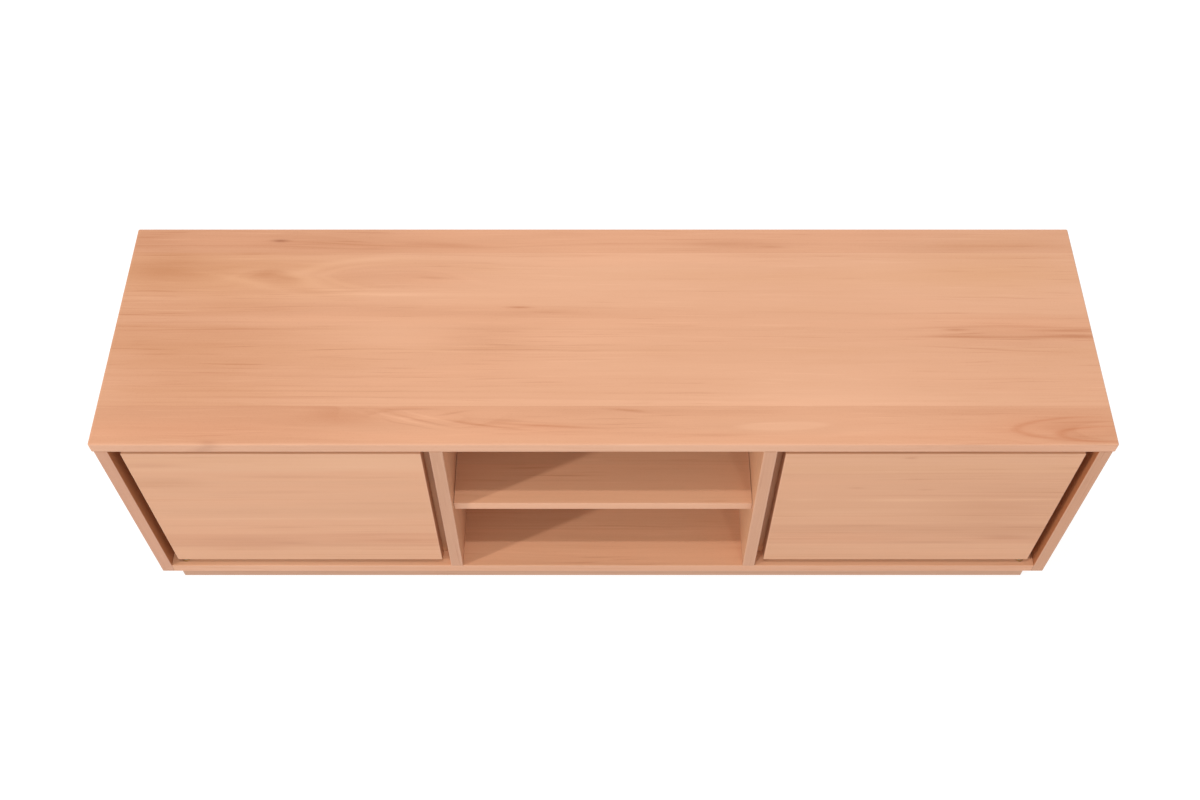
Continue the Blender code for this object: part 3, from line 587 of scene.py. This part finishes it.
widePlank = {
    "seed": 8.0, "heart": 0.55, "lean": -0.006, "ringGap": 0.0110, "lineDepth": 0.05, "figure": 0.10,
}
topBoard = {
    "node": "top_panel", "grain": "XYZ", "sway": 0.015, "ripple": 0.006, "patchiness": 0.17, "fine": 0.85,
    "edgeToneAndShade": (1.00, 1.08, 1.16, 1.0),
    "joints": [
        {"at": -0.151},
        {"at": 0.050, "slope": -0.0218, "soft": 0.005},
        {"at": 0.170},
    ],
    "staves": [                               # front to back
        stave(seed=3.0, tone=0.02, red=0.22, heart=-0.40, ringGap=0.0080, lineDepth=0.06, figure=0.06),
        stave(tone=0.04, red=0.06, **widePlank),
        stave(tone=0.06, red=0.0, **widePlank),
        stave(seed=14.0, tone=0.0, red=0.22, heart=-0.30, ringGap=0.0085, lineDepth=0.06, figure=0.06),
    ],
    "eyes": [                                 # loops of the figure, each inside its own stave
        oval(-0.575, 0.122, 0.060, 0.024, stave=2, lift=0.026, bold=0.08),
        oval(-0.360, 0.117, 0.130, 0.030, stave=2, lift=0.030, bold=0.07),
        oval(-0.320, 0.195, 0.180, 0.016, stave=3, lift=0.016, bold=0.04),
        oval(-0.300, -0.178, 0.130, 0.024, stave=0, lift=0.030, bold=0.06),
        oval(0.285, -0.190, 0.110, 0.014, stave=0, lift=0.014, bold=0.04),
        oval(0.860, -0.207, 0.150, 0.026, stave=0, lift=0.030, bold=0.05),
        oval(0.680, -0.010, 0.160, 0.020, stave=1, lift=0.014, bold=0.06),
    ],
    "marks": [
        # the broad tone: a darker, yellower left end, partly painted shade that offsets the key light, a
        # paler middle, a yellow patch far right
        oval(-0.720, 0.000, 0.300, 0.260, shade=-0.12, red=-0.25),
        oval(-0.660, 0.115, 0.200, 0.045, shade=-0.04, red=-0.50),
        oval(-0.600, -0.190, 0.250, 0.040, shade=-0.06),
        oval(0.355, -0.115, 0.200, 0.050, shade=0.07),
        oval(-0.020, 0.115, 0.220, 0.050, shade=0.05),
        oval(0.660, 0.120, 0.150, 0.045, shade=-0.05, red=-0.60),
        oval(0.460, 0.130, 0.080, 0.040, shade=0.04),
        oval(0.020, -0.075, 0.160, 0.030, shade=0.05),
        oval(-0.360, -0.010, 0.110, 0.035, shade=0.05),
        oval(-0.040, -0.015, 0.090, 0.020, shade=0.04),
        oval(-0.190, -0.020, 0.095, 0.055, shade=-0.07),
        oval(-0.280, 0.042, 0.300, 0.012, shade=-0.06),
        oval(0.150, -0.148, 0.700, 0.016, shade=0.07, stave=1),
        oval(0.150, -0.154, 0.650, 0.010, shade=-0.04, stave=0),
        # painted light and shade: the top's front edge lighter at its left end and darker at its right end
        oval(-0.620, -0.226, 0.180, 0.004, shade=0.04),
        oval(0.620, -0.226, 0.200, 0.004, shade=-0.07),
        # second stave from the back: an eye, an arch and the long oval behind it
        oval(-0.745, 0.132, 0.085, 0.032, shade=-0.11, red=-0.10),
        oval(-0.600, 0.105, 0.075, 0.007, shade=0.06, slope=-0.30),
        oval(-0.572, 0.122, 0.026, 0.013, shade=-0.13),
        oval(-0.540, 0.114, 0.016, 0.008, shade=-0.07),
        oval(-0.350, 0.117, 0.168, 0.040, thin=0.12, fade=(-0.26, -0.42), shade=0.08),
        oval(-0.350, 0.116, 0.132, 0.029, thin=0.08, fade=(-0.28, -0.42), shade=0.05),
        oval(-0.360, 0.116, 0.120, 0.024, shade=-0.09, red=0.15),
        oval(-0.300, 0.112, 0.040, 0.0025, shade=-0.07, slope=-0.04),
        oval(-0.400, 0.076, 0.200, 0.0042, shade=0.08),
        oval(0.130, 0.112, 0.080, 0.0018, shade=-0.06),
        oval(0.425, 0.113, 0.040, 0.0022, shade=-0.07),
        oval(0.615, 0.129, 0.030, 0.0020, shade=-0.05),
        # back stave: brown round the knot, a wedge that runs to the right, a patch past the middle
        oval(-0.800, 0.200, 0.050, 0.020, shade=-0.06),
        oval(-0.440, 0.190, 0.220, 0.017, shade=-0.07),
        oval(-0.440, 0.189, 0.150, 0.0016, shade=-0.10, slope=-0.045),
        oval(-0.270, 0.186, 0.080, 0.0050, shade=-0.09, slope=-0.06),
        oval(0.235, 0.188, 0.080, 0.014, shade=-0.08),
        oval(0.290, 0.183, 0.022, 0.0026, shade=-0.10),
        oval(0.700, 0.182, 0.140, 0.010, shade=-0.05, red=-0.20),
        oval(0.700, 0.202, 0.130, 0.020, shade=-0.02, red=-0.40),
        # wide plank: a dark dash, fine lines at the left, brown streaks at the right end
        oval(-0.145, 0.050, 0.024, 0.0020, shade=-0.22),
        oval(-0.080, 0.041, 0.060, 0.0060, shade=-0.06),
        oval(-0.655, 0.003, 0.160, 0.0014, shade=-0.10),
        oval(-0.660, 0.019, 0.150, 0.0012, shade=-0.06),
        oval(-0.055, -0.039, 0.230, 0.0013, shade=-0.07),
        oval(-0.055, -0.044, 0.230, 0.0016, shade=0.06),
        oval(0.275, 0.012, 0.050, 0.0013, shade=0.09),
        oval(-0.490, -0.112, 0.270, 0.0012, shade=-0.06),
        oval(-0.450, -0.121, 0.250, 0.0012, shade=-0.06),
        oval(-0.500, -0.133, 0.280, 0.0012, shade=-0.05),
        oval(0.550, 0.037, 0.270, 0.0014, shade=-0.06, slope=-0.012),
        oval(0.720, 0.003, 0.150, 0.026, shade=-0.08, red=0.30),
        oval(0.600, 0.003, 0.022, 0.0026, shade=-0.16),
        oval(0.598, -0.010, 0.050, 0.0024, shade=-0.15),
        oval(0.665, -0.012, 0.160, 0.0015, shade=-0.13),
        oval(0.790, 0.001, 0.060, 0.0030, shade=-0.16),
        oval(0.800, -0.012, 0.060, 0.0040, shade=-0.20),
        oval(0.650, -0.037, 0.110, 0.0016, shade=-0.10, slope=-0.065),
        # front stave: slanting strokes, a pale oval and the loops at the right end
        oval(-0.430, -0.172, 0.070, 0.012, shade=-0.06, red=0.20),
        oval(-0.350, -0.174, 0.050, 0.0020, shade=0.09, slope=-0.26),
        oval(-0.310, -0.178, 0.052, 0.0020, shade=0.10, slope=-0.29),
        oval(-0.275, -0.172, 0.046, 0.0019, shade=0.09, slope=-0.25),
        oval(-0.330, -0.180, 0.046, 0.0019, shade=-0.12, slope=-0.28),
        oval(-0.292, -0.177, 0.040, 0.0018, shade=-0.13, slope=-0.28),
        oval(-0.235, -0.164, 0.026, 0.0018, shade=-0.11, slope=0.18),
        oval(-0.195, -0.186, 0.055, 0.0024, shade=-0.15, slope=-0.16, red=0.20),
        oval(-0.080, -0.188, 0.090, 0.0024, shade=-0.13, slope=-0.07, red=0.20),
        oval(-0.140, -0.178, 0.060, 0.0020, shade=-0.08, slope=-0.05),
        oval(-0.120, -0.190, 0.110, 0.0120, shade=-0.04, red=0.30),
        oval(0.045, -0.159, 0.032, 0.0026, shade=-0.15, slope=-0.09),
        oval(0.285, -0.190, 0.070, 0.0085, crisp=0.22, shade=0.09, slope=0.03),
        oval(0.285, -0.190, 0.110, 0.0140, shade=0.03),
        oval(0.175, -0.207, 0.055, 0.0030, shade=-0.09),
        oval(0.420, -0.200, 0.060, 0.0060, shade=0.05, slope=0.10),
        oval(0.720, -0.192, 0.130, 0.028, shade=-0.05, red=0.50),
        oval(0.780, -0.198, 0.070, 0.022, shade=-0.05, stave=0),
        oval(0.800, -0.196, 0.130, 0.024, thin=0.08, fade=(0.86, 0.72), shade=-0.09, red=0.30),
        oval(0.815, -0.206, 0.090, 0.015, thin=0.10, fade=(0.86, 0.74), shade=-0.09, red=0.40),
    ],
    "knots": [
        oval(-0.582, 0.196, 0.014, 0.0032, dark=0.55),
        oval(-0.643, -0.224, 0.016, 0.0060, dark=0.20),
    ],
}

dress("top_panel", beech("topBeech", topBoard))
print("top dressed")

doorPlank = {"heart": 0.95, "heartDepth": 0.10, "ringGap": 0.011, "lineDepth": 0.05}


def doorStave(seed, tone, red):               # staves matched so well that only the tone steps
    return stave(seed=seed, tone=tone, red=red, **doorPlank)


doorBoards = {                                # joints and staves from the foot up
    "left_door_panel": {
        # painted shade: the tint darkens the door's face
        "tint": (0.965, 0.975, 0.940, 1.0),
        "joints": [
            {"at": 0.138, "soft": 0.006},
            {"at": 0.187, "soft": 0.004},
            {"at": 0.243, "soft": 0.002},
            {"at": 0.408, "soft": 0.008},
        ],
        "staves": [
            doorStave(231.0, 0.02, 0.12),
            doorStave(231.0, -0.055, 0.26),
            doorStave(231.0, -0.005, 0.16),
            doorStave(231.0, 0.005, 0.10),
            doorStave(231.0, 0.065, 0.02),
        ],
        "marks": [
            oval(-0.734, 0.428, 0.065, 0.009, shade=-0.12),
            oval(-0.745, 0.368, 0.060, 0.018, shade=-0.08, red=-0.20),
            oval(-0.500, 0.392, 0.090, 0.0055, shade=-0.07),
            oval(-0.380, 0.442, 0.130, 0.0220, shade=0.07),
            oval(-0.550, 0.338, 0.075, 0.0050, shade=-0.05),
            oval(-0.400, 0.300, 0.120, 0.0040, shade=-0.05, red=-0.15),
            oval(-0.649, 0.243, 0.140, 0.0036, shade=0.09),
            oval(-0.439, 0.243, 0.055, 0.0036, shade=0.08),
            oval(-0.560, 0.214, 0.050, 0.0030, shade=-0.07),
            oval(-0.640, 0.160, 0.110, 0.020, shade=-0.06),
            oval(-0.650, 0.130, 0.080, 0.013, shade=-0.06),
            oval(-0.380, 0.187, 0.110, 0.0040, shade=-0.07, red=0.25),
            oval(-0.360, 0.163, 0.080, 0.0050, shade=-0.08, red=0.25),
            oval(-0.560, 0.153, 0.030, 0.0030, shade=-0.06),
        ],
    },
    "right_door_panel": {
        # painted shade: the tint darkens the door's face
        "tint": (0.945, 0.940, 0.895, 1.0),
        "joints": [
            {"at": 0.150, "soft": 0.003},
            {"at": 0.223, "soft": 0.004},
            {"at": 0.314, "soft": 0.002},
            {"at": 0.402, "soft": 0.004},
        ],
        "staves": [
            doorStave(241.0, 0.02, 0.12),
            doorStave(241.0, -0.06, 0.0),
            doorStave(241.0, 0.0, 0.02),
            doorStave(241.0, 0.0, 0.06),
            doorStave(241.0, 0.05, 0.0),
        ],
        "marks": [
            oval(0.521, 0.312, 0.085, 0.0036, shade=0.13),
            oval(0.710, 0.312, 0.075, 0.0036, shade=0.13),
            oval(0.345, 0.312, 0.030, 0.0036, shade=0.07),
            oval(0.540, 0.326, 0.120, 0.0030, shade=-0.07),
            oval(0.710, 0.290, 0.120, 0.0700, shade=-0.07),
            oval(0.400, 0.262, 0.100, 0.0140, shade=0.04),
            oval(0.430, 0.216, 0.090, 0.0060, shade=-0.06, red=-0.20),
            oval(0.460, 0.180, 0.100, 0.0200, shade=0.03, red=0.25),
            oval(0.730, 0.213, 0.040, 0.0024, shade=-0.09),
            oval(0.735, 0.176, 0.045, 0.0100, shade=-0.10, slope=-0.06),
            oval(0.600, 0.158, 0.060, 0.0022, shade=-0.10),
            oval(0.506, 0.451, 0.010, 0.0030, shade=-0.16),
            oval(0.525, 0.382, 0.022, 0.0026, shade=-0.08),
            oval(0.420, 0.352, 0.014, 0.0026, shade=-0.10),
            oval(0.540, 0.346, 0.014, 0.0024, shade=-0.09),
        ],
    },
}
doorSlab = {"grain": "XZY", "sway": 0.02, "ripple": 0.006, "patchiness": 0.12, "fine": 0.55}

for node, board in doorBoards.items():
    dress(node, beech(node + "Beech", {"node": node, **doorSlab, **board}))
print("doors dressed")

strips = {
    "jointShift": (-0.22, 0.22),              # in shares of a strip's width
    "seedStep": 3.0,
    "spread": {                               # least and most for each strip, drawn in this order
        "tone": (-0.03, 0.03),
        "red": (0.0, 0.25),
        "heart": (0.5, 0.9),                  # to one side or the other
        "heartDepth": (-0.2, 0.2),
        "lean": (-0.008, 0.008),
        "rise": (-0.01, 0.01),
        "ringGap": (0.008, 0.012),
        "lineDepth": (0.05, 0.10),
        "figure": (0.06, 0.12),
    },
}


def gluedUp(seed, low, high, width):          # joints and staves of a board glued up from strips
    draw = random.Random(seed)
    count = max(1, round((high - low) / width))
    joints = []
    for i in range(1, count):
        joints.append({"at": low + (high - low) * (i + draw.uniform(*strips["jointShift"])) / count})
    staves = []
    for i in range(count):
        own = {"seed": seed + strips["seedStep"] * i}
        for key, reach in strips["spread"].items():
            way = draw.choice((-1, 1)) if key == "heart" else 1
            own[key] = way * draw.uniform(*reach)
        staves.append(stave(**own))
    return {"joints": joints, "staves": staves}


# painted shade: the plinth rails darkened as if in the shade under the bottom board
plinthShade = (0.79, 0.84, 0.89, 1.0)
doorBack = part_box("left_door_panel")[1][1]
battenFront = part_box("left_outer_batten")[0][1]
shadowGap = {                                 # painted shade on the sides' inner faces, from the front to behind the doors
    "face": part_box("right_side_panel")[0][0],
    "full": 0.0002,                           # how deep past the face it is whole, and where it ends
    "none": 0.0008,
    "facing": (0.80, 0.95),
    "back": (doorBack + battenFront) / 2,
    "fade": 0.0015,
    "tint": (0.66, 0.46, 0.31, 1.0),
}
carcassBoards = {                             # grain letters: along, across and through the board
    # bottom board: its tint and first two marks are painted light along its front and in the niche; its
    # edge tone and last mark take that lightening back off the front edge
    "bottom_panel": {
        "grain": "XYZ", "seed": 21, "tint": (1.05, 1.08, 1.07, 1.0), "edgeToneAndShade": (0.95, 0.94, 0.96, 1.0),
        "marks": [
            oval(-0.600, -0.216, 0.200, 0.014, shade=0.10, red=-0.15),
            oval(0.600, -0.212, 0.250, 0.014, shade=0.04),
            oval(0.600, -0.226, 0.250, 0.004, shade=-0.06),
        ],
    },
    # the side panels' edge tones darken their front edges as painted shade
    "left_side_panel": {
        "grain": "ZYX", "seed": 31, "edgeToneAndShade": (0.84, 0.83, 0.87, 1.0), "gapShade": shadowGap,
    },
    "right_side_panel": {
        "grain": "ZYX", "seed": 41, "edgeToneAndShade": (0.78, 0.77, 0.75, 1.0), "gapShade": shadowGap,
    },
    # the dividers' tints lighten the niche walls as painted light, and their edge tones darken the front
    # edges as painted shade
    "left_divider": {
        "grain": "ZYX", "seed": 51, "tint": (1.14, 1.18, 1.18, 1.0), "edgeToneAndShade": (0.72, 0.71, 0.73, 1.0),
    },
    "right_divider": {
        "grain": "ZYX", "seed": 61, "tint": (1.04, 1.12, 1.10, 1.0), "edgeToneAndShade": (0.83, 0.79, 0.83, 1.0),
    },
    # the middle shelf's tint and mark are painted light on its top in the niche; its edge tone takes the
    # tint back off the front edge
    "center_shelf": {
        "grain": "XYZ", "seed": 71, "tint": (1.02, 1.08, 1.08, 1.0), "edgeToneAndShade": (0.98, 0.96, 0.98, 1.0),
        "marks": [oval(-0.220, 0.000, 0.060, 0.180, shade=0.05)],
    },
    "left_shelf": {"grain": "XYZ", "seed": 81},
    "right_shelf": {"grain": "XYZ", "seed": 91},
    # painted shade: this batten's dark tint stands for the shade deep in the gap beside the door
    "left_outer_batten": {"grain": "ZXY", "seed": 101, "tint": (0.85, 0.60, 0.42, 1.0)},
    "left_inner_batten": {"grain": "ZXY", "seed": 111, "tint": (0.92, 0.87, 0.76, 1.0)},
    # painted shade: this batten's dark tint stands for the shade deep in the gap beside the door
    "right_outer_batten": {"grain": "ZXY", "seed": 121, "tint": (0.80, 0.56, 0.38, 1.0)},
    "right_inner_batten": {"grain": "ZXY", "seed": 131, "tint": (1.00, 0.90, 0.76, 1.0)},
    "plinth_front_rail": {"grain": "XZY", "seed": 141, "tint": plinthShade},
    "plinth_back_rail": {"grain": "XZY", "seed": 151, "tint": plinthShade},
    "plinth_left_rail": {"grain": "YZX", "seed": 161, "tint": plinthShade},
    "plinth_right_rail": {"grain": "YZX", "seed": 171, "tint": plinthShade},
    "plinth_left_bearer": {"grain": "YZX", "seed": 181},
    "plinth_right_bearer": {"grain": "YZX", "seed": 191},
}
carcassStock = {"sway": 0.02, "ripple": 0.006, "patchiness": 0.10, "fine": 0.8, "staveWidth": 0.085}

for node, board in carcassBoards.items():
    low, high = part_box(node)
    axis = "XYZ".index(board["grain"][1])
    cut = gluedUp(board["seed"], low[axis], high[axis], carcassStock["staveWidth"])
    dress(node, beech(node + "Beech", {"node": node, **carcassStock, **board, **cut}))
print("carcass dressed")


def addPiece(name, solid, material, body):
    bmesh.ops.recalc_face_normals(solid, faces=solid.faces)
    piece = addShape(name, solid)
    piece.data.materials.append(material)
    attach(piece, body)
    return piece


def lathe(solid, centre, profile, steps):     # rings of (radius, y), closed by a cap at each end
    turns = [2 * math.pi * i / steps for i in range(steps)]
    rings = []
    for radius, y in profile:
        rings.append([
            solid.verts.new((centre[0] + radius * math.cos(t), y, centre[1] + radius * math.sin(t)))
            for t in turns
        ])
    for near, far in zip(rings, rings[1:]):
        for i in range(steps):
            j = (i + 1) % steps
            solid.faces.new((near[i], near[j], far[j], far[i]))
    solid.faces.new(rings[0])
    solid.faces.new(rings[-1])


# Metal turned on a lathe: fine rings round the part's own axis, with handling dulled into it
metals = {
    "steel": {"light": paint(202, 202, 204), "dark": paint(160, 160, 163), "roughness": 0.36},
    "brass": {"light": paint(233, 190, 134), "dark": paint(205, 156, 102), "roughness": 0.55},
}
latheMarks = {
    "rings": 9000.0, "smear": 420.0, "smearEdges": (0.30, 0.70), "smearTone": 0.6, "ringTone": 0.4,
    "cut": 0.10, "dull": 0.25, "polish": 0.12, "bump": 0.10, "depth": 0.00004,
}


def turned(name, metal, centre, axis):
    finish = Finish(name)
    xyz = finish.axes()
    spread = [place - at for place, at in zip(xyz, centre)]
    along = spread.pop("XYZ".index(axis))
    radius = (spread[0] * spread[0] + spread[1] * spread[1]).root()
    rings = finish.noiseAlong((radius + along) * latheMarks["rings"], 2)
    smear = finish.noise(finish.point(*[c * latheMarks["smear"] for c in xyz]), 3)
    tone = smear.between(*latheMarks["smearEdges"]) * latheMarks["smearTone"]
    tone = tone + rings * latheMarks["ringTone"]
    roughness = metals[metal]["roughness"] + rings * latheMarks["cut"] + smear * latheMarks["dull"]
    values = {
        "Base Color": finish.mix(tone, metals[metal]["dark"], metals[metal]["light"]),
        "Metallic": 1.0,
        "Roughness": roughness - latheMarks["polish"],
        "Normal": finish.bump(rings, latheMarks["bump"], latheMarks["depth"]),
    }
    return finish.shader(values)


def middle(node):
    low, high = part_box(node)
    return [(a + b) / 2 for a, b in zip(low, high)]


hardware = {}                                 # node: its metal and the axis it was turned on
for side in ("left", "right"):
    for level in ("upper", "lower"):
        hardware[side + "_" + level + "_pivot_bush"] = ("brass", "Z")
        hardware[side + "_" + level + "_pivot_pin"] = ("steel", "Z")
    hardware[side + "_catch_magnet"] = ("steel", "Y")
for bay in ("left", "center", "right"):
    for number in range(1, 5):
        hardware[bay + "_shelf_pin_" + str(number)] = ("steel", "X")

for node, (metal, axis) in hardware.items():
    dress(node, turned(node + "Metal", metal, middle(node), axis))
print("hardware dressed:", len(hardware))

# Each strike plate is let into the door's back and held by one countersunk screw
strikePlate = {
    "chamfer": 0.0003, "sink": 0.0026, "sinkFoot": 0.0016, "sinkShare": 0.75, "steps": 48,
    "screwHead": 0.0024, "screwBelow": 0.00015,
}
screw = {"shank": 0.0012, "coneDepth": 0.0011, "arm": 0.0014, "slot": 0.00035, "recess": 0.0007}


def crossScrew(solid, centre, y, head):       # its head looks along +Y, with a cross cut into it
    arm, slot = screw["arm"], screw["slot"]
    corners = [(arm, -slot), (arm, slot), (slot, slot)]
    cross = []
    for quarter in range(4):
        turn = math.pi / 2 * quarter
        for x, z in corners:
            cross.append((x * math.cos(turn) - z * math.sin(turn), x * math.sin(turn) + z * math.cos(turn)))
    steps = 2 * len(cross)
    first = math.atan2(corners[0][1], corners[0][0])
    turns = [first + 2 * math.pi * i / steps for i in range(steps)]

    def outline(points, depth):
        return [solid.verts.new((centre[0] + x, y - depth, centre[1] + z)) for x, z in points]

    def ring(radius, depth):
        return outline([(radius * math.cos(t), radius * math.sin(t)) for t in turns], depth)

    rim = ring(head, 0.0)
    foot = ring(screw["shank"], screw["coneDepth"])
    mouth = outline(cross, 0.0)
    bed = outline(cross, screw["recess"])
    for i in range(len(cross)):
        j = (i + 1) % len(cross)
        solid.faces.new((mouth[i], rim[2 * i], rim[2 * i + 1], rim[2 * j], mouth[j]))
        solid.faces.new((mouth[i], mouth[j], bed[j], bed[i]))
    solid.faces.new(bed)
    for i in range(steps):
        j = (i + 1) % steps
        solid.faces.new((rim[i], rim[j], foot[j], foot[i]))
    solid.faces.new(foot)


for side in ("left", "right"):
    node = side + "_strike_plate"
    low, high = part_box(node)
    centre = (middle(node)[0], middle(node)[2])
    back, face = low[1], high[1]
    rim = (high[0] - low[0]) / 2
    edge = strikePlate["chamfer"]
    deep = (face - back) * strikePlate["sinkShare"]
    plate = bmesh.new()
    profile = [
        (rim, back), (rim, face - edge), (rim - edge, face),
        (strikePlate["sink"], face), (strikePlate["sinkFoot"], face - deep),
    ]
    lathe(plate, centre, profile, strikePlate["steps"])
    metal = turned(node + "Metal", "steel", middle(node), "Y")
    disc = addPiece(node + "_disc", plate, metal, side + "_door")
    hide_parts(node)
    holder = bmesh.new()
    crossScrew(holder, centre, face - strikePlate["screwBelow"], strikePlate["screwHead"])
    addPiece(node + "_screw", holder, metal, side + "_door")
print("strike plates made")

# Thin beech-faced boards close the back, each screwed round its edge into the rebates
backBoards = {"left_back_panel": 201, "center_back_panel": 211, "right_back_panel": 221}
backStock = {
    "grain": "ZXY", "sway": 0.03, "ripple": 0.010, "patchiness": 0.10, "fine": 0.8, "staveWidth": 0.27,
    "tint": (0.96, 0.97, 0.96, 1.0),
    "plies": {                                # veneers in pairs, the second of each laid crosswise
        "from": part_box("center_back_panel")[0][1],
        "pair": 0.0031,
        "crossedFrom": 0.5,
    },
}
backScrews = {
    "inset": 0.0046, "spacing": 0.135, "head": 0.0028, "below": 0.0002,
    "sink": 0.0031, "sinkFoot": 0.0013, "sinkDepth": 0.0020, "proud": 0.0004, "steps": 24,
}


def screwPlaces(low, high):                   # evenly round the board's edge
    inset = backScrews["inset"]
    left, right = low[0] + inset, high[0] - inset
    foot, head = low[2] + inset, high[2] - inset
    wide = max(1, round((right - left) / backScrews["spacing"]))
    tall = max(1, round((head - foot) / backScrews["spacing"]))
    places = []
    for i in range(wide + 1):
        x = left + (right - left) * i / wide
        places += [(x, foot), (x, head)]
    for i in range(1, tall):
        z = foot + (head - foot) * i / tall
        places += [(left, z), (right, z)]
    return places


def sinkCutter(name, places, face):           # the cones that the countersinks take out of a board
    slope = (backScrews["sink"] - backScrews["sinkFoot"]) / backScrews["sinkDepth"]
    mouth = backScrews["sink"] + slope * backScrews["proud"]
    profile = [
        (mouth, face + backScrews["proud"]),
        (backScrews["sinkFoot"], face - backScrews["sinkDepth"]),
    ]
    sinks = bmesh.new()
    for place in places:
        lathe(sinks, place, profile, backScrews["steps"])
    bmesh.ops.recalc_face_normals(sinks, faces=sinks.faces)
    cutter = addShape(name, sinks)
    cutter.hide_render = True
    cutter.hide_viewport = True
    return cutter


for node, seed in backBoards.items():
    low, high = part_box(node)
    face = high[1]
    places = screwPlaces(low, high)
    cutter = sinkCutter(node + "_sinks", places, face)
    cut = gluedUp(seed, low[0], high[0], backStock["staveWidth"])
    dress(node, beech(node + "Ply", {"node": node, **backStock, **cut}), cutter)
    screws = bmesh.new()
    for place in places:
        crossScrew(screws, place, face - backScrews["below"], backScrews["head"])
    metal = turned(node + "Screws", "steel", middle(node), "Y")
    addPiece(node + "_screws", screws, metal, "carcass")
print("backs dressed and screwed")

# Soft bumpers, moulded, with a bloom of dust in the grain
rubber = {
    "dark": paint(44, 42, 40), "bloom": paint(78, 75, 71), "grain": 2600.0, "dust": 520.0,
    "dustEdges": (0.40, 0.75), "dustTone": 0.7, "grainTone": 0.3,
    "roughness": 0.62, "grainRoughness": 0.20, "bump": 0.25, "depth": 0.0001,
}


def moulded(name):
    finish = Finish(name)
    xyz = finish.axes()
    grain = finish.noise(finish.point(*[c * rubber["grain"] for c in xyz]), 2)
    dust = finish.noise(finish.point(*[c * rubber["dust"] for c in xyz]), 3)
    bloom = dust.between(*rubber["dustEdges"]) * rubber["dustTone"] + grain * rubber["grainTone"]
    values = {
        "Base Color": finish.mix(bloom, rubber["dark"], rubber["bloom"]),
        "Roughness": rubber["roughness"] + grain * rubber["grainRoughness"],
        "Normal": finish.bump(grain, rubber["bump"], rubber["depth"]),
    }
    return finish.shader(values)


bumperRubber = moulded("bumperRubber")
for side in ("left", "right"):
    for level in ("upper", "lower"):
        dress(side + "_" + level + "_bumper", bumperRubber)
print("bumpers dressed")
